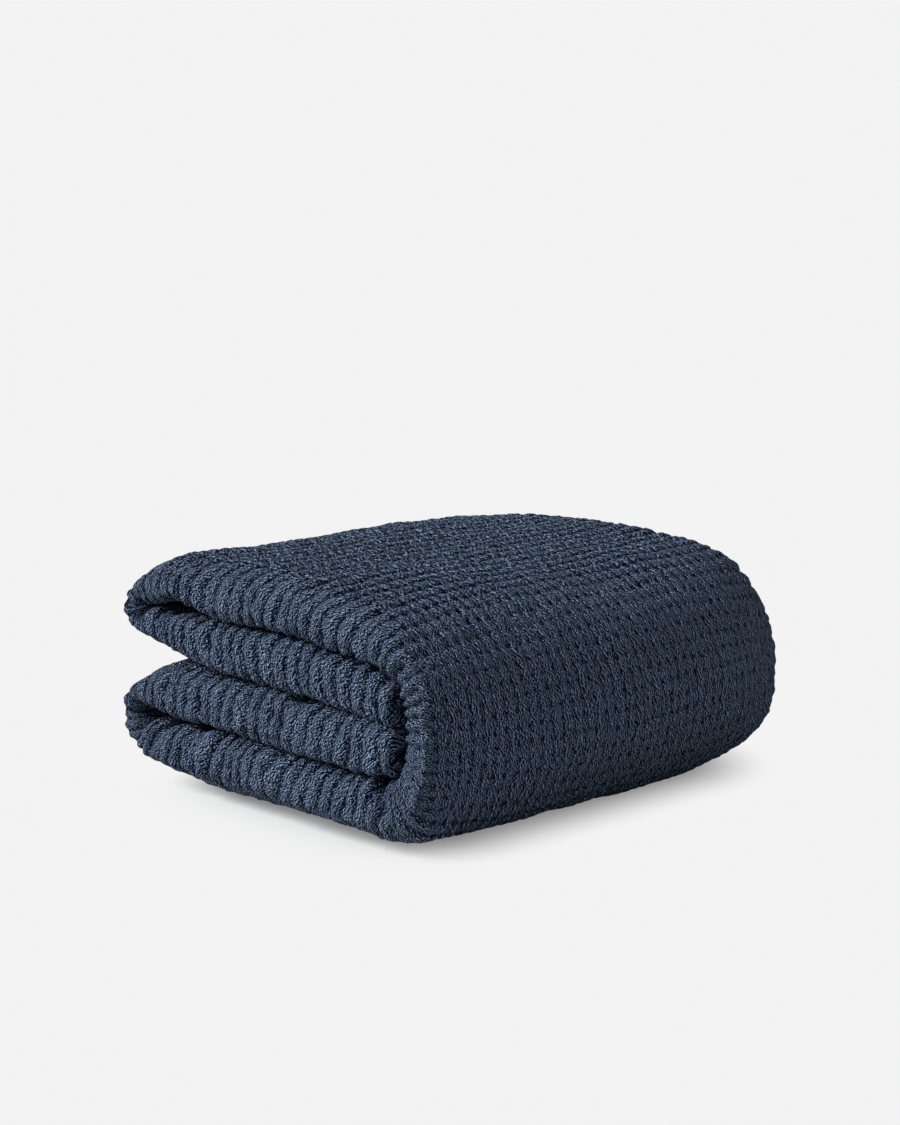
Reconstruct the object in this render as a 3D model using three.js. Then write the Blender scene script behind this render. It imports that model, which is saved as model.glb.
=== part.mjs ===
// Waffle comforter, folded: quartered lengthwise, both ends turned in, then halved.
// Millimetres, +Z up. X runs along the folded back, -X is the layered end, -Y is the back.
import { BufferGeometry, Float32BufferAttribute, Group, Mesh, MeshStandardMaterial } from 'three';

// Sizes of the folded pile
const FOLDED_LENGTH = 571;
const CROWN_POWER = 3.5;
const FREE_END_RUN = 20;
const FREE_END_POWER = 2.4;
const FREE_END_THINNEST = 0.3;

// How finely the solid is faceted
const STATION_STEP = 17;
const FREE_END_STATIONS = [0, 1.5, 5, 10, 17, 26];
const PATH_SAMPLES = 60;
const ROLL_STEPS = 5;
const FLAT_STEPS = 8;

// The folded path, from one free end to the other. y and z place the middle of the padding and
// half is half its thickness. The crowns are how far the outer face falls in towards the layered
// (near) end and the far end of the pile, and the rolls are how far a face takes to roll over
// there: the outer face at the near end, the outer face at the far end, and the inner face.
const PATH_COLUMNS = [
  'y', 'z', 'half', 'crownNear', 'crownFar', 'rollNear', 'rollFar', 'rollIn',
];
const PATH_ROWS = [
  // upper inner layer, from its free end
  [-192, 160, 21, 0, 0, 34, 38, 34],
  [-162, 164, 24, 0, 0, 36, 38, 36],
  [-91, 172, 29, 0, 0, 38, 38, 38],
  [0, 176, 29, 0, 0, 38, 38, 38],
  [91, 177, 29, 0, 0, 38, 38, 38],
  [151, 179, 28, 2, 4, 40, 50, 36],
  // upper turned-in fold
  [192, 182, 23, 6, 14, 50, 75, 34],
  [223, 189, 15, 6, 11, 60, 70, 30],
  [242, 209, 12, 6, 11, 62, 77, 28],
  [224, 229, 15, 6, 12, 60, 77, 30],
  [195, 237, 22, 6, 16, 55, 77, 34],
  // top layer
  [161, 243, 26, 6, 16, 55, 77, 36],
  [91, 241, 32, 4, 6, 52, 62, 36],
  [0, 240, 32, 2, 0, 52, 56, 38],
  [-101, 236, 32, 3, 0, 55, 52, 38],
  [-184, 224, 32, 6, 2, 60, 56, 34],
  // back
  [-234, 188, 34, 9, 14, 70, 76, 28],
  [-250, 130, 38, 11, 17, 70, 85, 26],
  [-242, 78, 36, 11, 17, 70, 85, 28],
  [-205, 46, 37, 11, 15, 65, 85, 34],
  // bottom layer
  [-121, 37, 40, 13, 10, 60, 80, 38],
  [0, 38, 41, 13, 10, 60, 80, 38],
  [101, 38, 42, 13, 10, 60, 80, 38],
  [173, 38, 36, 12, 12, 60, 80, 36],
  // lower turned-in fold
  [212, 44, 31, 13, 14, 60, 88, 34],
  [236, 56, 20, 12, 14, 60, 90, 30],
  [246, 81, 16, 9, 12, 60, 90, 28],
  [235, 106, 17, 9, 12, 55, 80, 30],
  [207, 115, 24, 6, 10, 50, 70, 34],
  // lower inner layer, to its free end
  [161, 116, 31, 2, 6, 40, 50, 36],
  [91, 114, 31, 0, 0, 38, 38, 38],
  [0, 113, 31, 0, 0, 38, 38, 38],
  [-101, 110, 30, 0, 0, 38, 38, 38],
  [-162, 110, 27, 0, 0, 36, 38, 36],
  [-192, 116, 24, 0, 0, 34, 38, 34],
];

// Soft creases across the layered end. at is the row of the path they lie on, width is across
// the crease, reach is how far they run in from the end, and face picks the inner (+1) or the
// outer (-1) side of the padding.
const CREASE_COLUMNS = ['at', 'width', 'reach', 'depth', 'face'];
const CREASE_ROWS = [
  [2.1, 17, 90, 9, 1],
  [6.5, 16, 80, 6, 1],
  [15.6, 22, 70, 8, 1],
  [19.2, 20, 80, 9, 1],
  [23.4, 17, 90, 7, 1],
  [25.2, 15, 80, 5, 1],
  [31.3, 17, 90, 9, -1],
];

/** Turns rows of bare values into rows with named columns. */
function named(columns, values) {
  return values.map((row) => Object.fromEntries(columns.map((name, i) => [name, row[i]])));
}

/** Smooth value between two knots, with a slope given at each of them. */
function hermite(from, to, slopeFrom, slopeTo, length, t) {
  const t2 = t * t;
  const t3 = t2 * t;
  return (
    (2 * t3 - 3 * t2 + 1) * from +
    (t3 - 2 * t2 + t) * length * slopeFrom +
    (3 * t2 - 2 * t3) * to +
    (t3 - t2) * length * slopeTo
  );
}

/** Distance in the Y-Z plane between two places on the path. */
function span(a, b) {
  return Math.hypot(b.y - a.y, b.z - a.z);
}

/** Rate of change of one column at a row, taken from its neighbours. */
function slope(rows, distances, i, column) {
  const before = Math.max(i - 1, 0);
  const after = Math.min(i + 1, rows.length - 1);
  return (rows[after][column] - rows[before][column]) / (distances[after] - distances[before]);
}

/** Running distance of each place on a path. */
function running(places) {
  const distances = [0];
  for (let i = 1; i < places.length; i += 1) {
    distances.push(distances[i - 1] + span(places[i - 1], places[i]));
  }
  return distances;
}

/** The rows joined by a smooth path, as closely spaced places that also carry their row number. */
function smoothPath(rows) {
  const distances = running(rows);
  const places = [];
  for (let i = 0; i < rows.length - 1; i += 1) {
    const length = distances[i + 1] - distances[i];
    const last = i === rows.length - 2 ? 1 : 0;
    for (let k = 0; k < PATH_SAMPLES + last; k += 1) {
      const t = k / PATH_SAMPLES;
      const place = { row: i + t };
      for (const column of PATH_COLUMNS) {
        const from = slope(rows, distances, i, column);
        const to = slope(rows, distances, i + 1, column);
        place[column] = hermite(rows[i][column], rows[i + 1][column], from, to, length, t);
      }
      places.push(place);
    }
  }
  return places;
}

/** Distances of the stations: closer together over the rounded free ends, then even. */
function stationDistances(total) {
  const inner = FREE_END_STATIONS[FREE_END_STATIONS.length - 1];
  const count = Math.round((total - 2 * inner) / STATION_STEP);
  const start = FREE_END_STATIONS.slice(0, -1);
  const even = Array.from({ length: count + 1 }, (_, i) => inner + ((total - 2 * inner) * i) / count);
  const end = start.map((distance) => total - distance).reverse();
  return [...start, ...even, ...end];
}

/** Stations along a path, each with its distance s and its unit normal to the inner face. */
function stationsAlong(places) {
  const distances = running(places);
  const total = distances[distances.length - 1];
  let k = 0;
  return stationDistances(total).map((s) => {
    while (k < places.length - 2 && distances[k + 1] < s) {
      k += 1;
    }
    const a = places[k];
    const b = places[k + 1];
    const t = (s - distances[k]) / (distances[k + 1] - distances[k]);
    const length = span(a, b);
    const station = { s, fromEnd: Math.min(s, total - s) };
    station.normal = { y: -(b.z - a.z) / length, z: (b.y - a.y) / length };
    for (const column of Object.keys(a)) {
      station[column] = a[column] + (b[column] - a[column]) * t;
    }
    return station;
  });
}

/** Distance s along the path of a row number that may lie between two rows. */
function distanceOfRow(stations, row) {
  const after = stations.find((station) => station.row >= row);
  return after.s;
}

/** Total depth of the soft creases at a distance along the path and a place on the ring. */
function creaseDepth(creases, s, point, half) {
  let depth = 0;
  for (const crease of creases) {
    const across = (s - crease.s) / crease.width;
    const along = (point.x + FOLDED_LENGTH / 2) / crease.reach;
    const side = 0.5 + (0.5 * crease.face * point.offset) / half;
    depth += crease.depth * side * Math.exp(-across * across - along * along);
  }
  return depth;
}

/** The closed outline of the padding in the plane of X and the station's normal. */
function ringOutline(station) {
  const { half, rollNear, rollFar, rollIn } = station;
  const short = 1 - Math.min(station.fromEnd / FREE_END_RUN, 1);
  const full = Math.max((1 - short ** FREE_END_POWER) ** (1 / FREE_END_POWER), FREE_END_THINNEST);
  const end = FOLDED_LENGTH / 2 - (1 - full) * FREE_END_RUN;
  const points = [];
  const add = (x, face, rise, lean) => {
    const crown = x < 0 ? station.crownNear : station.crownFar;
    const fall = face < 0 ? crown * (Math.abs(x) / end) ** CROWN_POWER : 0;
    points.push({ x, offset: face * rise * full * (half - fall), lean });
  };
  const roll = (side, face, run, steps) => {
    for (const k of steps) {
      const angle = ((k / ROLL_STEPS) * Math.PI) / 2;
      add(side * (end - run * (1 - Math.cos(angle))), face, Math.sin(angle), side * Math.cos(angle));
    }
  };
  const flat = (face, from, to) => {
    for (let k = 1; k < FLAT_STEPS; k += 1) {
      add(from + ((to - from) * k) / FLAT_STEPS, face, 1, 0);
    }
  };
  const rising = Array.from({ length: ROLL_STEPS + 1 }, (_, k) => k);
  const falling = [...rising].reverse();
  roll(-1, -1, rollNear, falling);
  roll(-1, 1, rollIn, rising.slice(1));
  flat(1, rollIn - end, end - rollIn);
  roll(1, 1, rollIn, falling);
  roll(1, -1, rollFar, rising.slice(1));
  flat(-1, end - rollFar, rollNear - end);
  return points;
}

/** One ring of the solid, creased and set on its station. */
function ring(station, creases) {
  return ringOutline(station).map((point) => {
    const depth = creaseDepth(creases, station.s, point, station.half);
    const level = Math.sqrt(1 - point.lean * point.lean);
    const x = point.x - point.lean * depth;
    const offset = point.offset - Math.sign(point.offset) * level * depth;
    const y = station.y + station.normal.y * offset;
    const z = station.z + station.normal.z * offset;
    return [x, y, Math.max(z, 0)];
  });
}

/** Middle of a ring of points. */
function middle(points) {
  return [0, 1, 2].map((axis) => points.reduce((sum, p) => sum + p[axis], 0) / points.length);
}

/** The closed solid swept through the rings, with a fan over each free end. */
function sweptSolid(rings) {
  const count = rings[0].length;
  const last = rings.length - 1;
  const positions = [...rings.flat(), middle(rings[0]), middle(rings[last])];
  const startHub = rings.length * count;
  const endHub = startHub + 1;
  const faces = [];
  for (let i = 0; i < last; i += 1) {
    for (let k = 0; k < count; k += 1) {
      const next = (k + 1) % count;
      const a = i * count + k;
      const b = i * count + next;
      const c = (i + 1) * count + next;
      const d = (i + 1) * count + k;
      faces.push(a, b, c, a, c, d);
    }
  }
  for (let k = 0; k < count; k += 1) {
    const next = (k + 1) % count;
    faces.push(startHub, next, k);
    faces.push(endHub, last * count + k, last * count + next);
  }
  const solid = new BufferGeometry();
  solid.setAttribute('position', new Float32BufferAttribute(positions.flat(), 3));
  solid.setIndex(faces);
  return solid;
}

/** Sets a solid's box in the middle of X and Y. */
function centre(solid) {
  solid.computeBoundingBox();
  const { min, max } = solid.boundingBox;
  solid.translate(-(min.x + max.x) / 2, -(min.y + max.y) / 2, 0);
  return solid;
}

const stations = stationsAlong(smoothPath(named(PATH_COLUMNS, PATH_ROWS)));
const creases = named(CREASE_COLUMNS, CREASE_ROWS).map((crease) => ({
  ...crease,
  s: distanceOfRow(stations, crease.at),
}));
const solid = centre(sweptSolid(stations.map((station) => ring(station, creases))));
solid.computeVertexNormals();

const fabric = new MeshStandardMaterial({ color: 0x36445a, roughness: 0.95, metalness: 0 });
const comforter = new Mesh(solid, fabric);
comforter.name = 'comforter';

const part = new Group();
part.name = 'waffle_comforter';
part.add(comforter);

export default part;
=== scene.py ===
"""Looks of a waffle comforter folded into a thick soft pile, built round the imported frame."""

import logging
import math
from dataclasses import dataclass, field, fields
from enum import Enum

import bpy
import numpy as np
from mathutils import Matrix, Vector


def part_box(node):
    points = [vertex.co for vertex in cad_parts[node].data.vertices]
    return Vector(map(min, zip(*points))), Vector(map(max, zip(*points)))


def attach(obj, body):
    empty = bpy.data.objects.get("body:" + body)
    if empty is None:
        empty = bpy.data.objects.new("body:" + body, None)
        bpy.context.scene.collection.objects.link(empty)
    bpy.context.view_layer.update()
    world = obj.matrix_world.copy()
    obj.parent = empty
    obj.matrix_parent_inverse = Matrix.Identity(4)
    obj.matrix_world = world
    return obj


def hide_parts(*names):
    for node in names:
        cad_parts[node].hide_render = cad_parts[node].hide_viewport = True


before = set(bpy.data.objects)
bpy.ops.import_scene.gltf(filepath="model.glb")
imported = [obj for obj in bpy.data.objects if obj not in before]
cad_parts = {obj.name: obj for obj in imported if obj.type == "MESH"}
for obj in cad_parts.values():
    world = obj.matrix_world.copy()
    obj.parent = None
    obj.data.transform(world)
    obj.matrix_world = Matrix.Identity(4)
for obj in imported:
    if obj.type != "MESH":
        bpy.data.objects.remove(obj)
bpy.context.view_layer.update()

NODE = "comforter"
MM = 0.001
ROW_PITCH = 20.5
CELL_PITCH = 14.9
NOISE_ROUGHNESS = 0.6
Limits = tuple[float, float]
Array = np.ndarray

logging.basicConfig(level=logging.INFO, format="%(message)s")
log = logging.getLogger("comforter")


class Face(Enum):
    """A face of the padding: the outer one looks out of the folded pile."""

    OUTER = -1
    INNER = 1


class End(Enum):
    """An end of the pile: the near one is the layered end at -X."""

    NEAR = -1
    FAR = 1


@dataclass(frozen=True)
class FoldRow:
    """One place on the folded path, in millimetres.

    y and z place the middle of the padding, and half is half its thickness. A crown is how far the outer
    face falls in towards an end, and a roll how far it takes to roll over. roll_in is the inner face's.
    """

    y: float
    z: float
    half: float
    crown_near: float
    crown_far: float
    roll_near: float
    roll_far: float
    roll_in: float


UPPER_INNER = [
    FoldRow(-201, 158, 22, 0, 0, 34, 38, 34),
    FoldRow(-166, 163, 26, 0, 0, 36, 38, 36),
    FoldRow(-91, 172, 29, 0, 0, 38, 38, 38),
    FoldRow(0, 176, 29, 0, 0, 38, 38, 38),
    FoldRow(91, 177, 29, 0, 0, 38, 38, 38),
    FoldRow(151, 179, 28, 2, 4, 40, 50, 36),
]
UPPER_FOLD = [
    FoldRow(194, 180, 24, 6, 14, 50, 75, 34),
    FoldRow(229, 184, 17, 4, 11, 56, 70, 30),
    FoldRow(243, 203, 13, 5, 11, 56, 77, 28),
    FoldRow(229, 226, 16, 1, 12, 54, 77, 30),
    FoldRow(195, 237, 22, 0, 16, 50, 77, 34),
]
TOP_LAYER = [
    FoldRow(161, 243, 26, 0, 16, 50, 77, 36),
    FoldRow(91, 241, 32, 4, 6, 52, 62, 36),
    FoldRow(0, 240, 32, 2, 0, 52, 56, 38),
    FoldRow(-101, 236, 32, 3, 0, 52, 52, 38),
    FoldRow(-184, 224, 32, 15, 4, 44, 58, 34),
]
BACK = [
    FoldRow(-234, 188, 34, 24, 25, 24, 86, 28),
    FoldRow(-250, 130, 38, 34, 28, 18, 94, 26),
    FoldRow(-242, 79, 36, 31, 22, 20, 86, 28),
    FoldRow(-205, 46, 37, 9, 13, 34, 84, 34),
]
BOTTOM_LAYER = [
    FoldRow(-121, 37, 40, 18, 10, 60, 80, 38),
    FoldRow(0, 38, 41, 20, 10, 60, 80, 38),
    FoldRow(101, 38, 42, 17, 10, 60, 80, 38),
    FoldRow(173, 38, 36, 15, 12, 60, 80, 36),
]
LOWER_FOLD = [
    FoldRow(212, 44, 31, 8, 14, 58, 88, 34),
    FoldRow(236, 56, 20, 3, 14, 54, 90, 30),
    FoldRow(246, 81, 16, 6, 12, 56, 90, 28),
    FoldRow(235, 106, 17, 9, 12, 55, 80, 30),
    FoldRow(207, 115, 24, 6, 10, 50, 70, 34),
]
LOWER_INNER = [
    FoldRow(161, 116, 31, 2, 6, 40, 50, 36),
    FoldRow(91, 114, 31, 0, 0, 38, 38, 38),
    FoldRow(0, 113, 31, 0, 0, 38, 38, 38),
    FoldRow(-101, 110, 30, 0, 0, 38, 38, 38),
    FoldRow(-166, 110, 29, 0, 0, 36, 38, 36),
    FoldRow(-201, 114, 26, 0, 0, 34, 38, 34),
]
PATH = UPPER_INNER + UPPER_FOLD + TOP_LAYER + BACK + BOTTOM_LAYER + LOWER_FOLD + LOWER_INNER


@dataclass(frozen=True)
class Crease:
    """A soft trough across a rolled end, in millimetres.

    at is its row on the path, lean how far it slants along the path from the middle of the padding to
    the inner face, width its half width, reach how far it runs in from the end and depth its depth.
    """

    at: float
    lean: float
    width: float
    reach: float
    depth: float
    face: Face
    end: End = End.NEAR


CREASES = [
    Crease(2.1, 14, 9, 60, 7, Face.INNER),
    Crease(5.5, 6, 8, 60, 8, Face.INNER),
    Crease(6.6, 4, 5, 45, 5, Face.INNER),
    Crease(7.4, 0, 5, 45, 4, Face.INNER),
    Crease(8.3, 0, 5, 40, 5, Face.INNER),
    Crease(9.2, -3, 5, 40, 4, Face.INNER),
    Crease(15.6, 0, 12, 60, 6, Face.INNER),
    Crease(19.25, 10, 10, 80, 20, Face.INNER),
    Crease(19.9, 10, 7, 60, 5, Face.INNER),
    Crease(22.5, -12, 8, 70, 8, Face.INNER),
    Crease(23.5, -6, 8, 60, 9, Face.INNER),
    Crease(24.7, 0, 7, 50, 6, Face.INNER),
    Crease(26, 4, 7, 50, 5, Face.INNER),
    Crease(31.3, -10, 8, 70, 8, Face.OUTER),
]


@dataclass(frozen=True)
class SoftPad:
    """Extra thickness where the layers press together, in millimetres at a row of the path.

    round_outer is how boxy the outer face rolls over an end: 1 is an ellipse and less is fuller.
    """

    at: float
    inner: float
    outer: float
    round_outer: float


PADS = [
    SoftPad(0, 1.6, 1.6, 0.64),
    SoftPad(4.2, 1.6, 1.6, 0.66),
    SoftPad(5.3, -3, 0, 0.9),
    SoftPad(6.1, 4, 0, 1),
    SoftPad(6.8, 9, 0, 1),
    SoftPad(8, 12, 0, 1),
    SoftPad(9.2, 9, 0, 1),
    SoftPad(9.9, 6, 0, 1),
    SoftPad(10.7, -3, 0, 1),
    SoftPad(12, 1.8, 0, 1),
    SoftPad(14.6, 2.5, 0, 0.9),
    SoftPad(16.5, 3, 0, 0.75),
    SoftPad(18.2, 2, 0, 0.78),
    SoftPad(20, 1.2, 0, 1),
    SoftPad(22.6, 1.2, 0, 1),
    SoftPad(24, 1, 0, 1),
    SoftPad(25.4, 3, 0, 1),
    SoftPad(27, 0, 0, 1),
    SoftPad(28.2, 2.5, 0, 0.9),
    SoftPad(29.6, 1.6, 1.6, 0.66),
    SoftPad(34, 1.6, 1.6, 0.64),
]


@dataclass
class ClothPlace:
    """Where each point lies on the cloth, in millimetres.

    row is the row number of the path, along the distance along it, turn the distance round the ring,
    inward the distance in from the nearer end of the pile and girth the whole way round the ring.
    """

    row: Array
    along: Array
    turn: Array
    inward: Array
    girth: float


@dataclass(frozen=True)
class SoftNoise:
    """Smooth random heights over the cloth, the same each run, that meet themselves round the ring.

    seed says which pattern, across and around are the size of a lump along the path and round the ring
    in millimetres, and strength is the greatest height.
    """

    seed: int
    across: float
    around: float
    strength: float

    def heights(self, place: ClothPlace) -> Array:
        """Heights at each point of the cloth.

        Args:
            place: where the points lie.

        Returns:
            Heights up and down.
        """
        rows = int(place.along.max() / self.across) + 3
        columns = max(round(place.girth / self.around), 3)
        grid = np.random.default_rng(self.seed).uniform(-1, 1, (rows, columns))
        u = place.along / self.across
        v = place.turn / place.girth * columns
        i = np.floor(u).astype(int)
        j = np.floor(v).astype(int)
        fu = eased(u - i)
        fv = eased(v - j)
        i = np.clip(i, 0, rows - 2)
        near = grid[i, j % columns] * (1 - fv) + grid[i, (j + 1) % columns] * fv
        far = grid[i + 1, j % columns] * (1 - fv) + grid[i + 1, (j + 1) % columns] * fv
        return self.strength * (near * (1 - fu) + far * fu)


def eased(t: Array) -> Array:
    """A very smooth step from 0 to 1."""
    return t * t * t * (t * (t * 6 - 15) + 10)


ROWS_STRAY = [SoftNoise(3, 55, 70, 1), SoftNoise(4, 20, 24, 0.45)]
CELLS_STRAY = [SoftNoise(5, 60, 60, 1), SoftNoise(6, 22, 22, 0.4)]
DEPTH_CHANGES = [SoftNoise(7, 16, 14, 0.45), SoftNoise(12, 70, 30, 0.35)]
LUMPS = [SoftNoise(8, 85, 95, 2.2), SoftNoise(9, 34, 38, 1.1)]
PUFFS = [SoftNoise(10, 9, 8, 1.1), SoftNoise(11, 5, 5, 0.5)]


def layered(noises: list[SoftNoise], place: ClothPlace) -> Array:
    """Several noises laid over each other."""
    return sum(noise.heights(place) for noise in noises)


@dataclass
class FoldPath:
    """The smooth folded path through the rows, with stations evenly spaced along its outer face.

    Attributes:
        rows: the places that the path goes through.
        samples: places worked out between two rows.
        outer_share: how far out, as a share of half the thickness, the stations are spaced evenly.
    """

    rows: list[FoldRow]
    samples: int = 80
    outer_share: float = 0.8

    def smooth(self) -> dict[str, Array]:
        """Closely spaced places on the path.

        Returns:
            One array for each column of the rows, with row, s, ny, nz and u beside them: row number,
            distance along the path, direction to the inner face and distance along the outer face.
        """
        names = [column.name for column in fields(FoldRow)]
        knots = np.array([[getattr(row, name) for name in names] for row in self.rows], float)
        chord = np.r_[0, np.cumsum(np.hypot(*np.diff(knots[:, :2], axis=0).T))]
        slopes = np.empty_like(knots)
        slopes[1:-1] = (knots[2:] - knots[:-2]) / (chord[2:] - chord[:-2])[:, None]
        slopes[0] = (knots[1] - knots[0]) / (chord[1] - chord[0])
        slopes[-1] = (knots[-1] - knots[-2]) / (chord[-1] - chord[-2])
        row = np.linspace(0, len(knots) - 1, (len(knots) - 1) * self.samples + 1)
        i = np.minimum(row.astype(int), len(knots) - 2)
        t = (row - i)[:, None]
        length = (chord[i + 1] - chord[i])[:, None]
        values = (
            (2 * t**3 - 3 * t**2 + 1) * knots[i]
            + (t**3 - 2 * t**2 + t) * length * slopes[i]
            + (3 * t**2 - 2 * t**3) * knots[i + 1]
            + (t**3 - t**2) * length * slopes[i + 1]
        )
        places = dict(zip(names, values.T))
        step_y = np.gradient(places["y"])
        step_z = np.gradient(places["z"])
        step = np.hypot(step_y, step_z)
        places["row"] = row
        places["s"] = running_length(places["y"], places["z"])
        places["ny"] = -step_z / step
        places["nz"] = step_y / step
        out = self.outer_share * places["half"]
        places["u"] = running_length(places["y"] - places["ny"] * out, places["z"] - places["nz"] * out)
        return places

    def stations(self, step: float) -> dict[str, Array]:
        """Stations evenly spaced along the outer face.

        Args:
            step: distance between stations, in millimetres.

        Returns:
            The same arrays as smooth, as columns with one row for each station.
        """
        places = self.smooth()
        count = int(round(places["u"][-1] / step)) + 1
        u = np.linspace(0, places["u"][-1], count)
        found = {name: np.interp(u, places["u"], values)[:, None] for name, values in places.items()}
        size = np.hypot(found["ny"], found["nz"])
        found["ny"] /= size
        found["nz"] /= size
        return found


def running_length(y: Array, z: Array) -> Array:
    """Distance run so far along a line of points."""
    return np.r_[0, np.cumsum(np.hypot(np.diff(y), np.diff(z)))]


def rise(low: float, high: float, value: Array) -> Array:
    """A smooth step from 0 at low to 1 at high."""
    t = np.clip((value - low) / (high - low), 0, 1)
    return t * t * (3 - 2 * t)


@dataclass(frozen=True)
class WeaveRow:
    """How the weave lies at one row of the path, in millimetres.

    pitch is the way from one row of cells to the next, row_depth the depth of the valleys between rows,
    end_depth the same over a rolled end, end_reach how far in from the end it is left behind, cell_depth
    the depth of the valleys between cells, hollow_depth that of the hollows where they cross, and lean
    how far the rows slant as they roll over an end.
    """

    at: float
    pitch: float
    row_depth: float
    end_depth: float
    end_reach: float
    cell_depth: float
    hollow_depth: float
    lean: float


WEAVE = [
    WeaveRow(0, ROW_PITCH, 2.6, 3.7, 60, 0.9, 5.8, -0.1),
    WeaveRow(5, ROW_PITCH, 2.6, 3.7, 60, 0.9, 5.8, -0.1),
    WeaveRow(8, ROW_PITCH, 1.7, 2.0, 60, 0.9, 3.6, 0),
    WeaveRow(11, 20.3, 3.0, 4.2, 60, 1.5, 6.4, 0.22),
    WeaveRow(14, 20.3, 3.0, 4.2, 60, 1.5, 6.4, 0.22),
    WeaveRow(15.2, 19.5, 1.1, 3.6, 40, 1.2, 4.0, 0.1),
    WeaveRow(16, 18.2, 0.8, 4.6, 20, 1.2, 3.3, 0),
    WeaveRow(18, 18.2, 0.8, 4.4, 20, 1.2, 3.3, 0),
    WeaveRow(20, ROW_PITCH, 2.6, 4.0, 50, 0.9, 6.0, 0.2),
    WeaveRow(22.5, ROW_PITCH, 2.6, 4.0, 60, 0.9, 6.0, 0.2),
    WeaveRow(25.5, ROW_PITCH, 1.8, 1.8, 60, 0.9, 3.6, 0.2),
    WeaveRow(28.5, ROW_PITCH, 2.6, 3.6, 60, 0.9, 5.8, 0.2),
    WeaveRow(34, ROW_PITCH, 2.6, 3.7, 60, 0.9, 5.8, 0.2),
]


@dataclass
class Weave:
    """Sizes of the waffle weave, in millimetres and shares.

    The widths are half widths of the valleys between rows, the same over an end, and of those between
    cells, and hollow_length is half the length of a hollow along the path. wander is how far the rows
    stray, end_wander how much further they do over an end, drift how far the cells do as a share of it
    and end_vary how much more the depth varies over an end. The face starts between face_limits from an
    end, and the depth over an end starts to fade at end_start of its reach. The last two are the shares
    of the valleys between cells and of the hollows that are left over an end.
    """

    cell_pitch: float = CELL_PITCH
    row_width: float = 3.4
    end_width: float = 4.8
    cell_width: float = 3.2
    hollow_length: float = 4.6
    wander: float = 2.7
    end_wander: float = 1.5
    drift: float = 0.8
    end_vary: float = 0.6
    face_limits: Limits = (15, 75)
    end_start: float = 0.25
    cells_over_end: float = 0.2
    hollows_over_end: float = 0.9

    def girth(self, around: float) -> float:
        """The way round the ring, as a whole number of cells."""
        return round(around / self.cell_pitch) * self.cell_pitch

    def along(self, column: str, row: Array) -> Array:
        """A column of the weave's table at each row number."""
        return np.interp(row, [place.at for place in WEAVE], [getattr(place, column) for place in WEAVE])

    def on_face(self, inward: Array) -> Array:
        """How far the cloth lies as it does on the face, from 0 at an end to 1 well in from it."""
        return rise(*self.face_limits, inward)

    def lattice(self, place: ClothPlace, slide: Array) -> Array:
        """Lays the weave over the cloth.

        Args:
            place: where the points lie.
            slide: how far round an end each point has rolled.

        Returns:
            How many rows and cells each point lies along.
        """
        pitch = self.along("pitch", place.row)
        count = np.cumsum(np.gradient(place.along[:, 0]) / pitch[:, 0])[:, None]
        stray = layered(ROWS_STRAY, place) * (1 + self.end_wander * (1 - self.on_face(place.inward)))
        rows = count + (self.along("lean", place.row) * slide + self.wander * stray) / pitch
        cells = (place.turn + self.drift * self.wander * layered(CELLS_STRAY, place)) / self.cell_pitch
        return np.stack([rows, cells], axis=2)

    def relief(self, lattice: Array, place: ClothPlace) -> Array:
        """Depth of the weave at each point of the cloth, before it varies.

        Args:
            lattice: how many rows and cells each point lies along.
            place: where the points lie.

        Returns:
            Depth below the cloth's face.
        """
        to_row = np.abs((lattice[..., 0] + 0.5) % 1 - 0.5) * self.along("pitch", place.row)
        to_cell = np.abs((lattice[..., 1] + 0.5) % 1 - 0.5) * self.cell_pitch
        reach = self.along("end_reach", place.row)
        rolled = 1 - rise(self.end_start * reach, reach, place.inward)
        width = self.row_width + (self.end_width - self.row_width) * rolled
        valley = np.exp(-((to_row / width) ** 2))
        notch = np.exp(-((to_cell / self.cell_width) ** 2))
        hollow = np.exp(-((to_row / self.hollow_length) ** 2)) * notch
        row_depth = self.along("row_depth", place.row)
        row_depth = row_depth + (self.along("end_depth", place.row) - row_depth) * rolled
        flat = self.on_face(place.inward)
        cells_left = self.cells_over_end + (1 - self.cells_over_end) * flat
        hollows_left = self.hollows_over_end + (1 - self.hollows_over_end) * flat
        trough = row_depth * valley + self.along("cell_depth", place.row) * notch * cells_left
        return np.maximum(trough, self.along("hollow_depth", place.row) * hollow * hollows_left)

    def vary(self, place: ClothPlace) -> Array:
        """How much deeper or shallower than usual the weave is, as a factor at each point."""
        more = 1 + self.end_vary * (1 - self.on_face(place.inward))
        return 1 + layered(DEPTH_CHANGES, place) * more


@dataclass
class Ring:
    """The outline of the padding, with a row for each station and a column for each point round it.

    The points start in the middle of the inner face and go round past the far end. offset is how far one
    lies towards the inner face, and the edges are the columns where the ends' rolls meet the outer face.
    """

    x: Array
    offset: Array
    far_edge: int
    near_edge: int

    def slide(self, turn: Array) -> Array:
        """How far past the outer face's edge each point has rolled over an end."""
        past_far = np.maximum(turn[:, self.far_edge, None] - turn, 0)
        return past_far + np.maximum(turn - turn[:, self.near_edge, None], 0)


@dataclass
class ClothFace:
    """The finished face of the cloth.

    points are in millimetres, lattice says how many rows and cells of the weave each lies along, shown
    how far it shows, 0 to 1, and cells_round how many cells go round.
    """

    points: Array
    lattice: Array
    shown: Array
    cells_round: float


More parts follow.
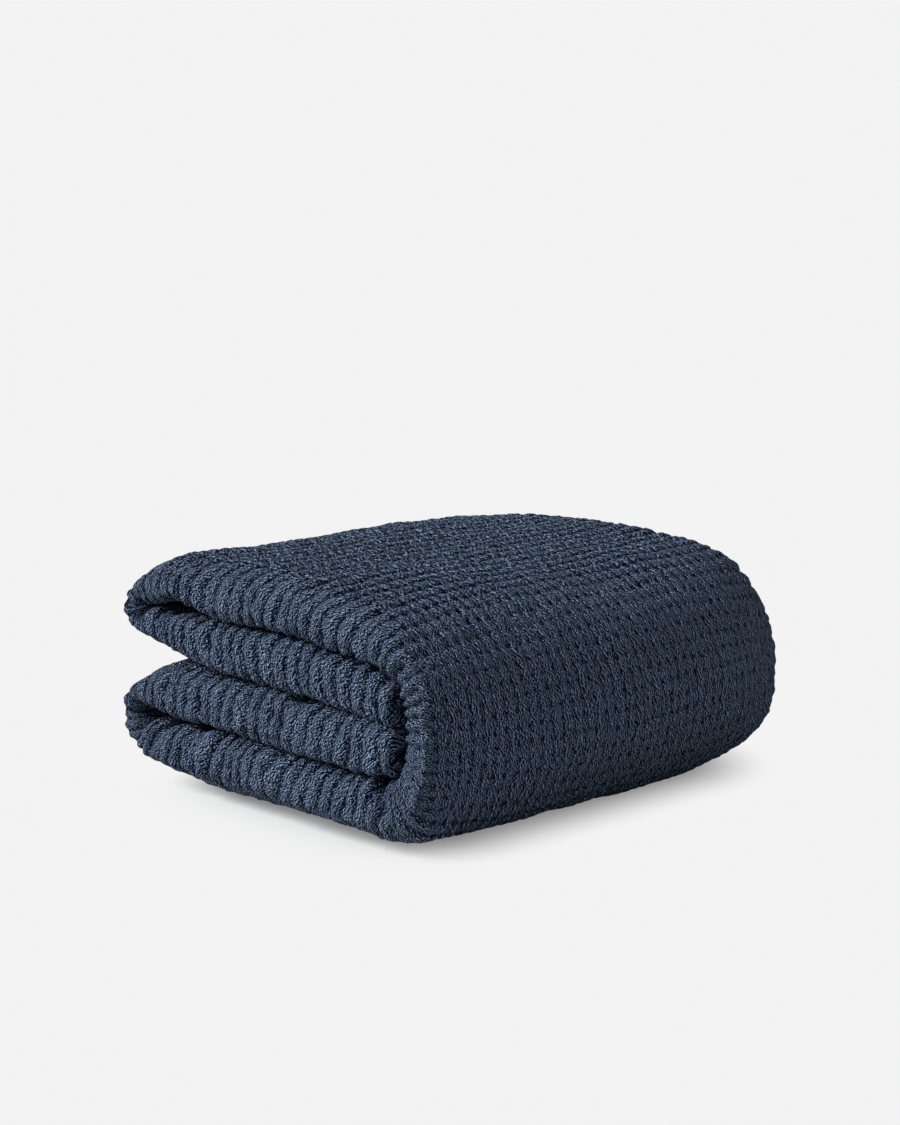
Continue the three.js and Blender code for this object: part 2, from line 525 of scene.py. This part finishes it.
@dataclass
class Comforter:
    """The folded comforter: one padded cloth that rests flat on its bottom layer.

    Lengths are in millimetres. A lift is an offset as a share of half the thickness.

    Attributes:
        length: length of the pile along X.
        crown_power: how late the crowns fall in towards the ends.
        near_crown_power: the same at the rounded back's near end.
        back_rows: rows where the rounded back starts, is whole and starts to end.
        free_end_run: how far a free end takes to round over.
        free_end_power: how blunt it is.
        free_end_thinnest: share of the thickness left at its tip.
        round_inner: how boxy the inner face rolls over an end.
        step: distance between points where the cloth shows.
        coarse_step: the same where it doesn't.
        roll_length: usual way round a roll.
        roll_run: usual run of a roll to the inner face.
        outer_length: usual length of the outer face between rolls.
        fine_length: how far past a roll the inner face is finely divided.
        crease_limits: lifts where a crease comes in.
        end_shown: distances from an end where the inner face goes out of sight.
        shown_from: rows where the outer face comes into sight.
        shown_until: rows where it goes out of sight.
        outer_lift: lift below which a point is on the outer face.
        hidden_sink: how far hidden cloth is drawn in.
        lip_flat: share of the weave's depth lost at the back's far end.
        lip_limits: distances from that end where it comes back.
        face_puffs: share of the puffs' height left on the face.
        hidden_share: how far a hidden point may show.
        rest_height: height up to which the floor hides the cloth.
        hidden_weight: how much sooner hidden triangles are dropped.
        most_triangles: triangles kept.
        weave: the waffle weave.
        at: the stations of the path.
    """

    length: float
    crown_power: float = 3.5
    near_crown_power: float = 1.4
    back_rows: tuple[float, float, float] = (14, 16, 18)
    free_end_run: float = 14
    free_end_power: float = 2.4
    free_end_thinnest: float = 0.3
    round_inner: float = 0.64
    step: float = 3.4
    coarse_step: float = 16
    roll_length: float = 70
    roll_run: float = 38
    outer_length: float = 440
    fine_length: float = 34
    crease_limits: Limits = (-1.1, 0.9)
    end_shown: Limits = (50, 80)
    shown_from: Limits = (4.2, 5.1)
    shown_until: Limits = (28.8, 29.8)
    outer_lift: float = 0.02
    hidden_sink: float = 0.4
    lip_flat: float = 0.65
    lip_limits: Limits = (8, 34)
    face_puffs: float = 0.5
    hidden_share: float = 0.05
    rest_height: float = 0.2
    hidden_weight: float = 1000
    most_triangles: int = 192_000
    weave: Weave = field(default_factory=Weave)
    at: dict[str, Array] = field(init=False)

    def __post_init__(self) -> None:
        """Works out the stations."""
        self.at = FoldPath(PATH).stations(self.step)

    def ring(self) -> Ring:
        """Works out the outline at every station.

        Returns:
            The outline.
        """
        at = self.at
        full = self.fullness()
        end = self.length / 2 - (1 - full) * self.free_end_run
        quarter = np.linspace(0, math.pi / 2, round(self.roll_length / self.step) + 1)
        hidden = self.length - 2 * self.roll_run
        fine = np.arange(self.step, self.fine_length, self.step) / hidden
        middle = np.arange(self.fine_length, hidden - self.fine_length + 1, self.coarse_step) / hidden
        inner = np.r_[fine, middle, (1 - fine)[::-1]]
        steps = int(self.outer_length / self.step)
        outer = np.arange(1, steps) / steps
        boxy = self.pad("round_outer")
        parts = [
            self.roll(End.NEAR, Face.OUTER, end, at["roll_near"], quarter[::-1], boxy),
            self.roll(End.NEAR, Face.INNER, end, at["roll_in"], quarter[1:], self.round_inner),
            self.flat(Face.INNER, at["roll_in"] - end, end - at["roll_in"], inner),
            self.roll(End.FAR, Face.INNER, end, at["roll_in"], quarter[::-1], self.round_inner),
            self.roll(End.FAR, Face.OUTER, end, at["roll_far"], quarter[1:], boxy),
            self.flat(Face.OUTER, end - at["roll_far"], at["roll_near"] - end, outer),
        ]
        x = np.concatenate([part[0] for part in parts], axis=1)
        lift = np.concatenate([part[1] for part in parts], axis=1)
        crown = np.where(x < 0, at["crown_near"], at["crown_far"])
        near_back = self.on_back(fade=1) * (x < 0)
        power = self.crown_power + (self.near_crown_power - self.crown_power) * near_back
        fall = np.where(lift < 0, crown * (np.abs(x) / end) ** power, 0)
        pad = np.where(lift < 0, self.pad("outer"), self.pad("inner"))
        offset = lift * full * (at["half"] + pad - fall)
        start = len(quarter) * 2 - 1 + len(inner) // 2
        return Ring(
            x=np.roll(x, -start, axis=1),
            offset=np.roll(offset, -start, axis=1),
            far_edge=x.shape[1] - len(outer) - start,
            near_edge=x.shape[1] - start,
        )

    def fullness(self) -> Array:
        """Share of its thickness that each station has, less than 1 at the free ends.

        Returns:
            A share for each station.
        """
        run = np.minimum(self.at["s"], self.at["s"][-1] - self.at["s"])
        short = 1 - np.minimum(run / self.free_end_run, 1)
        full = (1 - short**self.free_end_power) ** (1 / self.free_end_power)
        return np.maximum(full, self.free_end_thinnest)

    def on_back(self, fade: float) -> Array:
        """How far each station lies on the rounded back, which takes fade rows to end."""
        start, whole, stop = self.back_rows
        return rise(start, whole, self.at["row"]) * (1 - rise(stop, stop + fade, self.at["row"]))

    def pad(self, column: str) -> Array:
        """A column of the pads' table at every station."""
        values = [getattr(pad, column) for pad in PADS]
        return np.interp(self.at["row"], [pad.at for pad in PADS], values)

    def roll(
        self, side: End, face: Face, end: Array, run: Array, angles: Array, roundness: float | Array
    ) -> tuple[Array, Array]:
        """Points on a quarter of a rolled end.

        Args:
            side: the end of the pile.
            face: the face that it rolls to.
            end: where the end lies at each station.
            run: how far the roll runs in from it.
            angles: places on the quarter, from 0 at the end to a right angle on the face.
            roundness: 1 for an ellipse and less for a boxier roll.

        Returns:
            X and lift.
        """
        x = side.value * (end - run * (1 - np.abs(np.cos(angles)) ** roundness))
        return x, np.broadcast_to(face.value * np.abs(np.sin(angles)) ** roundness, x.shape)

    def flat(self, face: Face, start: Array, stop: Array, shares: Array) -> tuple[Array, Array]:
        """X and lift at shares of the way along a face between two rolls."""
        x = start + (stop - start) * shares
        return x, np.full(x.shape, float(face.value))

    def crease_depth(self, x: Array, lift: Array) -> Array:
        """Depth of the listed creases.

        Args:
            x: X of each point.
            lift: lift of each point.

        Returns:
            Depths in millimetres.
        """
        depth = np.zeros_like(x)
        row = self.at["row"][:, 0]
        s = self.at["s"]
        for crease in CREASES:
            middle = np.interp(crease.at, row, s[:, 0]) + crease.lean * lift
            inward = self.length / 2 - crease.end.value * x
            side = rise(*self.crease_limits, crease.face.value * lift)
            across = np.exp(-(((s - middle) / crease.width) ** 2))
            depth += crease.depth * side * across * np.exp(-((inward / crease.reach) ** 2))
        return depth

    def shown(self, lift: Array, inward: Array) -> Array:
        """How far each point shows, from 0 between the layers to 1 outside."""
        outside = rise(*self.shown_from, self.at["row"]) * (1 - rise(*self.shown_until, self.at["row"]))
        return np.maximum(1 - rise(*self.end_shown, inward), outside * (lift < self.outer_lift))

    def surface(self) -> ClothFace:
        """Raises and lowers the outline by the weave, the softness and the creases.

        Returns:
            The finished face.
        """
        at = self.at
        ring = self.ring()
        x = ring.x
        lift = ring.offset / at["half"]
        inward = self.length / 2 - np.abs(x)
        base = np.stack([x, at["y"] + at["ny"] * ring.offset, at["z"] + at["nz"] * ring.offset], axis=2)
        around = np.linalg.norm(np.roll(base, -1, axis=1) - base, axis=2)
        turn = np.cumsum(around, axis=1) - around
        whole = around.sum(axis=1, keepdims=True)
        girth = self.weave.girth(float(np.median(whole)))
        along = np.broadcast_to(at["u"], x.shape)
        place = ClothPlace(at["row"], along, turn / whole * girth, inward, girth)
        shown = self.shown(lift, inward)

        lattice = self.weave.lattice(place, ring.slide(place.turn))
        depth = self.weave.relief(lattice, place)
        lip = self.lip_flat * self.on_back(fade=2) * (1 - rise(*self.lip_limits, inward)) * (x > 0)
        depth = depth * (1 - lip) * self.weave.vary(place)
        lumps = layered(LUMPS, place)
        rolled = 1 - self.weave.on_face(inward)
        puffs = layered(PUFFS, place) * (self.face_puffs + (1 - self.face_puffs) * rolled)
        height = shown * (lumps + puffs - depth) - self.hidden_sink * (1 - shown)
        height -= self.crease_depth(x, lift)
        points = base + outward(base) * height[..., None]
        points[..., 2] = np.maximum(points[..., 2], 0)
        return ClothFace(points, lattice, shown, girth / self.weave.cell_pitch)

    def build(self) -> bpy.types.Object:
        """Builds the comforter.

        Returns:
            The finished object, in metres, in the frame's place.
        """
        cloth = self.surface()
        stations, around = cloth.shown.shape
        points = cloth.points.reshape(-1, 3)
        low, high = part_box(NODE)
        box_y = (low.y + high.y) / 2 / MM
        points[:, 1] += box_y - (points[:, 1].min() + points[:, 1].max()) / 2
        hubs = [points[:around].mean(axis=0), points[-around:].mean(axis=0)]
        points = np.vstack([points, hubs]) * MM
        mesh = bpy.data.meshes.new(NODE)
        mesh.from_pydata(points.tolist(), [], tube_faces(stations, around))
        self.add_weave_map(mesh, cloth)
        self.add_ribs(mesh, around)
        comforter = bpy.data.objects.new("waffle_comforter", mesh)
        bpy.context.scene.collection.objects.link(comforter)
        self.thin_out(comforter, np.r_[cloth.shown.ravel(), 0, 0])
        return comforter

    def add_weave_map(self, mesh: bpy.types.Mesh, cloth: ClothFace) -> None:
        """Gives the cloth its map, which counts rows and cells of the weave.

        Args:
            mesh: the cloth's mesh.
            cloth: the cloth's face.
        """
        around = cloth.lattice.shape[1]
        flat = cloth.lattice.reshape(-1, 2)
        corners = np.empty(len(mesh.loops), np.int32)
        mesh.loops.foreach_get("vertex_index", corners)
        known = np.minimum(corners, len(flat) - 1)
        uv = flat[known]
        sides = np.empty(len(mesh.polygons), np.int32)
        mesh.polygons.foreach_get("loop_total", sides)
        face = np.repeat(np.arange(len(sides)), sides)
        column = known % around
        closes = np.zeros(len(sides), bool)
        np.logical_or.at(closes, face, column == around - 1)
        uv[closes[face] & (column == 0), 1] += cloth.cells_round
        layer = mesh.uv_layers.new(name="weave")
        layer.data.foreach_set("uv", uv.astype(np.float32).ravel())

    def add_ribs(self, mesh: bpy.types.Mesh, around: int) -> None:
        """Marks how much deeper the valleys between rows are than those between cells.

        Args:
            mesh: the cloth's mesh.
            around: points round the ring.
        """
        row = self.at["row"][:, 0]
        rows = self.weave.along("row_depth", row)
        share = np.repeat(rows / (rows + self.weave.along("cell_depth", row)), around)
        hubs = [0.5, 0.5]
        ribs = mesh.attributes.new("ribs", "FLOAT", "POINT")
        ribs.data.foreach_set("value", np.r_[share, hubs].astype(np.float32))

    def thin_out(self, comforter: bpy.types.Object, shown: Array) -> None:
        """Drops triangles, first where the cloth is hidden and then evenly.

        Args:
            comforter: the cloth.
            shown: how far each point shows.
        """
        group = comforter.vertex_groups.new(name="hidden")
        places = np.empty(len(shown) * 3, np.float32)
        comforter.data.vertices.foreach_get("co", places)
        hidden = (shown < self.hidden_share) | (places[2::3] < self.rest_height * MM)
        group.add(np.flatnonzero(hidden).tolist(), 1.0, "REPLACE")
        bpy.ops.object.select_all(action="DESELECT")
        comforter.select_set(True)
        bpy.context.view_layer.objects.active = comforter
        for only in (group.name, ""):
            triangles = sum(len(polygon.vertices) - 2 for polygon in comforter.data.polygons)
            log.info("cloth: %d triangles", triangles)
            if triangles > self.most_triangles:
                thin = comforter.modifiers.new("thin", "DECIMATE")
                thin.ratio = self.most_triangles / triangles
                thin.use_collapse_triangulate = True
                thin.vertex_group = only
                thin.vertex_group_factor = self.hidden_weight
                bpy.ops.object.modifier_apply(modifier=thin.name)
        comforter.vertex_groups.clear()
        for vertex in comforter.data.vertices:
            vertex.co.z = max(vertex.co.z, 0)
        bpy.ops.object.shade_smooth()
        comforter.select_set(False)
        log.info("cloth: %d triangles kept", len(comforter.data.polygons))


def tube_faces(stations: int, around: int) -> list[list[int]]:
    """Faces of a tube of points that is closed by a hub at each end.

    Args:
        stations: rings of points.
        around: points in each ring.

    Returns:
        The points of each face: the squares along the tube, then the triangles that close it.
    """
    here = np.arange((stations - 1) * around)
    beside = here // around * around + (here + 1) % around
    quads = np.stack([here, beside, beside + around, here + around], axis=1)
    here = here[:around]
    beside = beside[:around]
    last = (stations - 1) * around
    hub = np.full(around, stations * around)
    first_cap = np.stack([hub, beside, here], axis=1)
    last_cap = np.stack([hub + 1, last + here, last + beside], axis=1)
    return quads.tolist() + first_cap.tolist() + last_cap.tolist()


def outward(base: Array) -> Array:
    """Unit directions out of the padding.

    Args:
        base: points with a row for each station and a column for each point round the ring.

    Returns:
        One direction for each point.
    """
    shortest = 1e-9
    along = np.gradient(base, axis=0)
    around = np.roll(base, -1, axis=1) - np.roll(base, 1, axis=1)
    out = np.cross(around, along)
    out /= np.maximum(np.linalg.norm(out, axis=2, keepdims=True), shortest)
    return out


class Socket:
    """A node's output that takes part in sums: each sum adds a Math node."""

    def __init__(self, nodes: "NodeTree", socket: bpy.types.NodeSocket) -> None:
        """Wraps a socket of a node tree."""
        self.nodes = nodes
        self.socket = socket

    def __add__(self, other: object) -> "Socket":
        """self + other."""
        return self.nodes.math("ADD", self, other)

    def __radd__(self, other: object) -> "Socket":
        """other + self."""
        return self.nodes.math("ADD", other, self)

    def __sub__(self, other: object) -> "Socket":
        """self - other."""
        return self.nodes.math("SUBTRACT", self, other)

    def __rsub__(self, other: object) -> "Socket":
        """other - self."""
        return self.nodes.math("SUBTRACT", other, self)

    def __mul__(self, other: object) -> "Socket":
        """self * other."""
        return self.nodes.math("MULTIPLY", self, other)

    def __rmul__(self, other: object) -> "Socket":
        """other * self."""
        return self.nodes.math("MULTIPLY", other, self)

    def between(self, low: float, high: float) -> "Socket":
        """0 at low, 1 at high, smooth between them."""
        inputs = {"Value": self, "From Min": low, "From Max": high}
        return self.nodes.add("ShaderNodeMapRange", {"interpolation_type": "SMOOTHSTEP"}, inputs)


class NodeTree:
    """The nodes of a material or a world, added one at a time."""

    def __init__(self, owner: bpy.types.Material | bpy.types.World) -> None:
        """Empties the owner's nodes.

        Args:
            owner: what the nodes belong to.
        """
        owner.use_nodes = True
        self.tree = owner.node_tree
        self.tree.nodes.clear()

    def add(
        self,
        kind: str,
        settings: dict[str, object],
        inputs: dict[int | str, object],
        output: int | str = 0,
    ) -> Socket:
        """Adds a node.

        Args:
            kind: the node's type.
            settings: the node's own settings.
            inputs: a value or a Socket for each input, by name or number.
            output: the output to return.

        Returns:
            That output, or an empty Socket where the node has none.
        """
        node = self.tree.nodes.new(kind)
        for name, value in settings.items():
            setattr(node, name, value)
        for name, value in inputs.items():
            if isinstance(value, Socket):
                self.tree.links.new(value.socket, node.inputs[name])
            else:
                node.inputs[name].default_value = value
        return Socket(self, node.outputs[output] if len(node.outputs) else None)

    def math(self, operation: str, *values: object) -> Socket:
        """One Math node on some values."""
        return self.add("ShaderNodeMath", {"operation": operation}, dict(enumerate(values)))

    def vector(self, operation: str, *values: object, output: int | str = 0) -> Socket:
        """One Vector Math node on some values."""
        inputs = dict(enumerate(values))
        return self.add("ShaderNodeVectorMath", {"operation": operation}, inputs, output)

    def part(self, vector: Socket, axis: str) -> Socket:
        """X, Y or Z of a vector."""
        return self.add("ShaderNodeSeparateXYZ", {}, {0: vector}, output=axis)

    def blend(self, share: object, low: object, high: object) -> Socket:
        """A colour between low and high."""
        settings = {"data_type": "RGBA"}
        return self.add("ShaderNodeMix", settings, {"Factor": share, 6: low, 7: high}, output=2)

    def noise(self, place: Socket, scale: float, detail: float, distortion: float) -> Socket:
        """Noise.

        Args:
            place: where on the cloth.
            scale: about how many lumps there are to a unit of it.
            detail: how many finer layers lie over them.
            distortion: how much they curl.

        Returns:
            0 to 1.
        """
        inputs = {"Vector": place, "Scale": scale, "Detail": detail, "Roughness": NOISE_ROUGHNESS}
        return self.add("ShaderNodeTexNoise", {}, inputs | {"Distortion": distortion})


def grey(level: float) -> tuple[float, float, float, float]:
    """A grey as a colour."""
    return (level, level, level, 1)


@dataclass(frozen=True)
class Yarn:
    """How the yarn lies on one part of the cloth.

    slant is in degrees, along and around are the size of a strand along the path and round the ring in
    millimetres, and strength is how boldly it stands out. apart is how far beside itself the pattern is
    taken off it, in strands, which paints a highlight on one side of each strand and shade on the other,
    and curl how much they curl.
    """

    slant: float
    along: float
    around: float
    strength: float
    apart: float = 0.7
    curl: float = 0.9

    def strands(self, nodes: NodeTree, lattice: Socket) -> Socket:
        """Noise drawn out along the yarn, less itself beside: painted highlight and shade along strands.

        Args:
            nodes: the material's nodes.
            lattice: how many rows and cells of the weave a point lies along.

        Returns:
            Noise about 0.
        """
        metric = nodes.vector("MULTIPLY", lattice, (ROW_PITCH, CELL_PITCH, 1))
        turned = {"Vector": metric, "Rotation": (0, 0, math.radians(self.slant))}
        laid = nodes.add("ShaderNodeMapping", {"vector_type": "POINT"}, turned)
        drawn = nodes.vector("MULTIPLY", laid, (1 / self.along, 1 / self.around, 1))
        across = (self.apart, 0, 0) if self.along < self.around else (0, self.apart, 0)
        beside = nodes.vector("ADD", drawn, across)
        light = nodes.noise(drawn, 1, detail=0, distortion=self.curl)
        # the noise less itself beside it: painted highlight on one side of a strand, painted shade on
        # the other
        return (light - nodes.noise(beside, 1, detail=0, distortion=self.curl)) * self.strength


@dataclass(frozen=True)
class Dents:
    """How deep the valleys and hollows of the weave lie: this gives their bump and their painted shade.

    stray is the scale, detail and distortion of the noise that their edges stray by, ragged how far they
    do in rows and cells and ragged_end how much further near an end. The reaches are half widths of the
    valleys between rows and between cells, in millimetres, and hollow_limits are how far from its middle
    a hollow fades; hollow_long is how much the way along the path counts in that, squared. notch is how
    strongly the valleys between cells show, and the lost shares are what goes near an end.
    """

    stray: tuple[float, float, float] = (150, 2, 0.5)
    ragged: float = 0.15
    ragged_end: float = 0.25
    valley_reach: float = 5
    notch_reach: float = 4
    notch: float = 0.4
    notch_lost: float = 0.25
    hollow_limits: Limits = (0.5, 4.5)
    hollow_long: float = 0.5
    hollow_lost: float = 0.1

    def depth(
        self, nodes: NodeTree, place: Socket, lattice: Socket, valleys: Socket, near_end: Socket
    ) -> Socket:
        """How deep in the weave a point lies.

        Args:
            nodes: the material's nodes.
            place: place on the object.
            lattice: how many rows and cells of the weave the point lies along.
            valleys: how clearly the valleys between rows show, 0 to 1.
            near_end: how near an end the point lies, 0 to 1.

        Returns:
            0 on the face to 1 in the hollows.
        """
        ragged = (nodes.noise(place, *self.stray) - 0.5) * (near_end * self.ragged_end + self.ragged)
        to_row = nodes.math("PINGPONG", nodes.part(lattice, "X") + ragged, 0.5) * ROW_PITCH
        to_cell = nodes.math("PINGPONG", nodes.part(lattice, "Y") - ragged, 0.5) * CELL_PITCH
        valley = (1 - to_row.between(0.0, self.valley_reach)) * valleys
        notch = (1 - to_cell.between(0.0, self.notch_reach)) * (self.notch - near_end * self.notch_lost)
        away = nodes.math("SQRT", to_row * to_row * self.hollow_long + to_cell * to_cell)
        hollow = (1 - away.between(*self.hollow_limits)) * (1 - near_end * self.hollow_lost)
        return nodes.math("MAXIMUM", nodes.math("MAXIMUM", valley, notch), hollow)


@dataclass(frozen=True)
class WaffleCloth:
    """The comforter's cloth: matte navy yarn in short curly loops, with painted light and shade on it.

    high is the painted highlight on the tops of the yarn and deep the painted shade far down in it; the
    navy cloth lies between them. The yarn lies in its own way over a rolled end, on the rounded back and
    on the flat layers; flat_ribs tells those from the back. It turns over between over_limits, metres
    from the middle of the pile, and back_later on the back. near_limits say where an end is near. tufts
    is the scale, detail and distortion of the tufts' noise. face_valleys is the share of the valleys
    between rows that shows on a face, and flat_dents how much bolder dents and their painted shade are
    on a flat layer's.
    middle_tone and tuft_tone say how light the cloth is and how far its tufts vary it. The loop, flat,
    dent and back settings say how far painted light and shade lighten or darken it: highlight and shade
    along the loops, light on the flat faces, shade in the dents and on the back near an end. tone_power
    says how late the colour lightens, and the heights how far each stands out, in millimetres.
    """

    # painted highlight (high) and painted shade (deep): the ends of the colour ramp, with the navy
    # between
    high: tuple[float, float, float] = (0.256, 0.348, 0.502)
    deep: tuple[float, float, float] = (0.0008, 0.0058, 0.026)
    end_yarn: Yarn = Yarn(slant=-25, along=1.8, around=3.1, strength=1.15)
    back_yarn: Yarn = Yarn(slant=8, along=4.2, around=1.7, strength=1.1)
    flat_yarn: Yarn = Yarn(slant=8, along=4.6, around=3.4, strength=0.5)
    flat_ribs: Limits = (0.4, 0.66)
    over_limits: Limits = (0.247, 0.265)
    back_later: float = 0.018
    near_limits: Limits = (0.21, 0.27)
    tufts: tuple[float, float, float] = (330, 0, 0.4)
    tuft_limits: Limits = (0.25, 0.75)
    dents: Dents = Dents()
    face_valleys: float = 0.4
    flat_dents: float = 0.6
    middle_tone: float = 0.43
    # how strongly the loops' painted highlight and shade show
    loop_tone: float = 3.3
    tuft_tone: float = 0.1
    # painted light: the flat layers' faces are lighter
    flat_tone: float = 0.1
    # painted shade in the weave's valleys and hollows
    dent_tone: float = 0.55
    # painted shade on the rounded back near an end
    back_tone: float = 0.06
    tone_power: float = 1.8
    loop_height: float = 2
    tuft_height: float = 4
    dent_height: float = 4
    roughness: float = 0.85
    specular: float = 0.06
    sheen: float = 0.01
    sheen_roughness: float = 0.5

    def material(self) -> bpy.types.Material:
        """Makes the cloth's material.

        Returns:
            The material.
        """
        made = bpy.data.materials.new("waffle_cloth")
        nodes = NodeTree(made)
        place = nodes.add("ShaderNodeTexCoord", {}, {}, output="Object")
        lattice = nodes.add("ShaderNodeUVMap", {"uv_map": "weave"}, {})
        ribs = nodes.add("ShaderNodeAttribute", {"attribute_name": "ribs"}, {}, output="Fac")
        aside = nodes.math("ABSOLUTE", nodes.part(place, "X"))
        flat = ribs.between(*self.flat_ribs)
        back = 1 - flat
        near_end = aside.between(*self.near_limits)
        over = (aside - back * self.back_later).between(*self.over_limits)
        face = 1 - over
        # the yarn's strands: bump height, and painted highlight and shade in the colour
        on_flat = self.flat_yarn.strands(nodes, lattice) * flat
        on_face = self.back_yarn.strands(nodes, lattice) * back + on_flat
        loops = self.end_yarn.strands(nodes, lattice) * over + on_face * face
        tufts = nodes.noise(place, *self.tufts).between(*self.tuft_limits)
        valleys = flat * (self.face_valleys + over * (1 - self.face_valleys))
        # depth in the weave, used for the bump and for painted shade in the valleys and hollows
        dents = self.dents.depth(nodes, place, lattice, valleys, near_end)
        dents = dents * (1 + flat * face * self.flat_dents)
        # painted highlight and shade along the loops, plus the tufts' random tone
        tone = loops * self.loop_tone + (tufts - 0.5) * self.tuft_tone + self.middle_tone
        # painted light on the flat faces and painted shade in the weave's dents
        tone = tone + flat * face * self.flat_tone - dents * self.dent_tone
        # painted shade on the back near either end
        tone = tone - near_end * back * self.back_tone
        share = nodes.math("POWER", nodes.math("MAXIMUM", tone, 0.0), self.tone_power)
        colour = nodes.blend(share, (*self.deep, 1), (*self.high, 1))
        height = loops * self.loop_height + tufts * self.tuft_height - dents * self.dent_height
        relief = nodes.add("ShaderNodeBump", {}, {"Strength": 1.0, "Distance": MM, "Height": height})
        inputs = {"Base Color": colour, "Roughness": self.roughness, "Specular IOR Level": self.specular}
        inputs |= {"Sheen Weight": self.sheen, "Sheen Roughness": self.sheen_roughness, "Normal": relief}
        cloth = nodes.add("ShaderNodeBsdfPrincipled", {}, inputs)
        nodes.add("ShaderNodeOutputMaterial", {}, {"Surface": cloth})
        return made


@dataclass(frozen=True)
class Studio:
    """Pale floor and backdrop, plain soft light and the camera, in metres and degrees.

    Away from a box on the floor, which shadow_middle and shadow_half place, shadow_share of the shadow
    fades between shadow_limits. bounce is how pale the floor is for the light that it throws back.
    """

    backdrop: float = 0.894
    floor_reach: float = 6
    shadow_middle: tuple[float, float, float] = (0.0075, 0, 0)
    shadow_half: tuple[float, float, float] = (0.1675, 0.081, 1)
    shadow_limits: Limits = (0.08, 0.195)
    shadow_share: float = 0.75
    bounce: float = 0.65
    camera_azimuth: float = -44.707
    camera_elevation: float = 10.07
    camera_distance: float = 2.6425
    camera_aim: tuple[float, float, float] = (0, 0.014, 0.2494)
    lens: float = 73.74
    sky: float = 0.3
    sun_from: tuple[float, float, float] = (-0.66, 0.50, 0.62)
    sun_width: float = 32

    def build(self) -> None:
        """Builds the floor, the light and the camera."""
        self.floor()
        self.world()
        self.sun()
        self.camera()

    def floor(self) -> None:
        """Lays a pale floor that keeps the object's shadow and fades into the backdrop."""
        bpy.ops.mesh.primitive_plane_add(size=2 * self.floor_reach, location=(0, 0, 0))
        floor = bpy.context.active_object
        floor.name = "floor"
        made = bpy.data.materials.new("pale_floor")
        nodes = NodeTree(made)
        place = nodes.add("ShaderNodeTexCoord", {}, {}, output="Object")
        aside = nodes.vector("ABSOLUTE", nodes.vector("SUBTRACT", place, self.shadow_middle))
        beyond = nodes.vector("MAXIMUM", nodes.vector("SUBTRACT", aside, self.shadow_half), (0, 0, 0))
        away = nodes.vector("LENGTH", beyond, output="Value")
        seen = nodes.add("ShaderNodeLightPath", {}, {}, output="Is Camera Ray")
        pale = grey(self.backdrop)
        matte = nodes.add("ShaderNodeBsdfDiffuse", {}, {"Color": pale})
        plain = nodes.add("ShaderNodeEmission", {}, {"Color": pale, "Strength": 1.0})
        dim = nodes.add("ShaderNodeBsdfDiffuse", {}, {"Color": grey(self.bounce)})
        share = away.between(*self.shadow_limits) * self.shadow_share + (1 - self.shadow_share)
        shown = nodes.add("ShaderNodeMixShader", {}, {0: share, 1: matte, 2: plain})
        mixed = nodes.add("ShaderNodeMixShader", {}, {0: seen, 1: dim, 2: shown})
        nodes.add("ShaderNodeOutputMaterial", {}, {"Surface": mixed})
        floor.data.materials.append(made)

    def world(self) -> None:
        """Sets soft even light, with the pale backdrop where the camera looks past the floor."""
        world = bpy.data.worlds.new("studio")
        bpy.context.scene.world = world
        nodes = NodeTree(world)
        seen = nodes.add("ShaderNodeLightPath", {}, {}, output="Is Camera Ray")
        light = nodes.add("ShaderNodeBackground", {}, {"Color": grey(1), "Strength": self.sky})
        plain = nodes.add("ShaderNodeBackground", {}, {"Color": grey(self.backdrop), "Strength": 1.0})
        mixed = nodes.add("ShaderNodeMixShader", {}, {0: seen, 1: light, 2: plain})
        nodes.add("ShaderNodeOutputWorld", {}, {"Surface": mixed})

    def sun(self) -> None:
        """Hangs a wide soft lamp over the layered end: with the sky it lights the floor fully."""
        lamp = bpy.data.lights.new("key", "SUN")
        lamp.angle = math.radians(self.sun_width)
        toward = Vector(self.sun_from).normalized()
        lamp.energy = math.pi * (1 - self.sky) / toward.z
        place = bpy.data.objects.new("key", lamp)
        bpy.context.scene.collection.objects.link(place)
        place.rotation_euler = toward.to_track_quat("Z", "Y").to_euler()

    def camera(self) -> None:
        """Sets up the camera, aimed near the top of the pile."""
        azimuth = math.radians(self.camera_azimuth)
        elevation = math.radians(self.camera_elevation)
        level = math.cos(elevation)
        back = Vector((math.sin(azimuth) * level, -math.cos(azimuth) * level, math.sin(elevation)))
        eye = bpy.data.cameras.new("camera")
        eye.lens = self.lens
        place = bpy.data.objects.new("camera", eye)
        bpy.context.scene.collection.objects.link(place)
        place.location = Vector(self.camera_aim) + back * self.camera_distance
        place.rotation_euler = (math.pi / 2 - elevation, 0, azimuth)
        bpy.context.scene.camera = place


def main() -> None:
    """Builds the comforter and the studio."""
    bpy.context.scene.view_settings.view_transform = "Standard"
    Studio().build()
    low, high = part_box(NODE)
    comforter = Comforter(length=(high.x - low.x) / MM).build()
    comforter.data.materials.append(WaffleCloth().material())
    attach(comforter, "root")
    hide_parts(NODE)
    log.info("comforter: %d points", len(comforter.data.vertices))


if __name__ == "__main__":
    main()
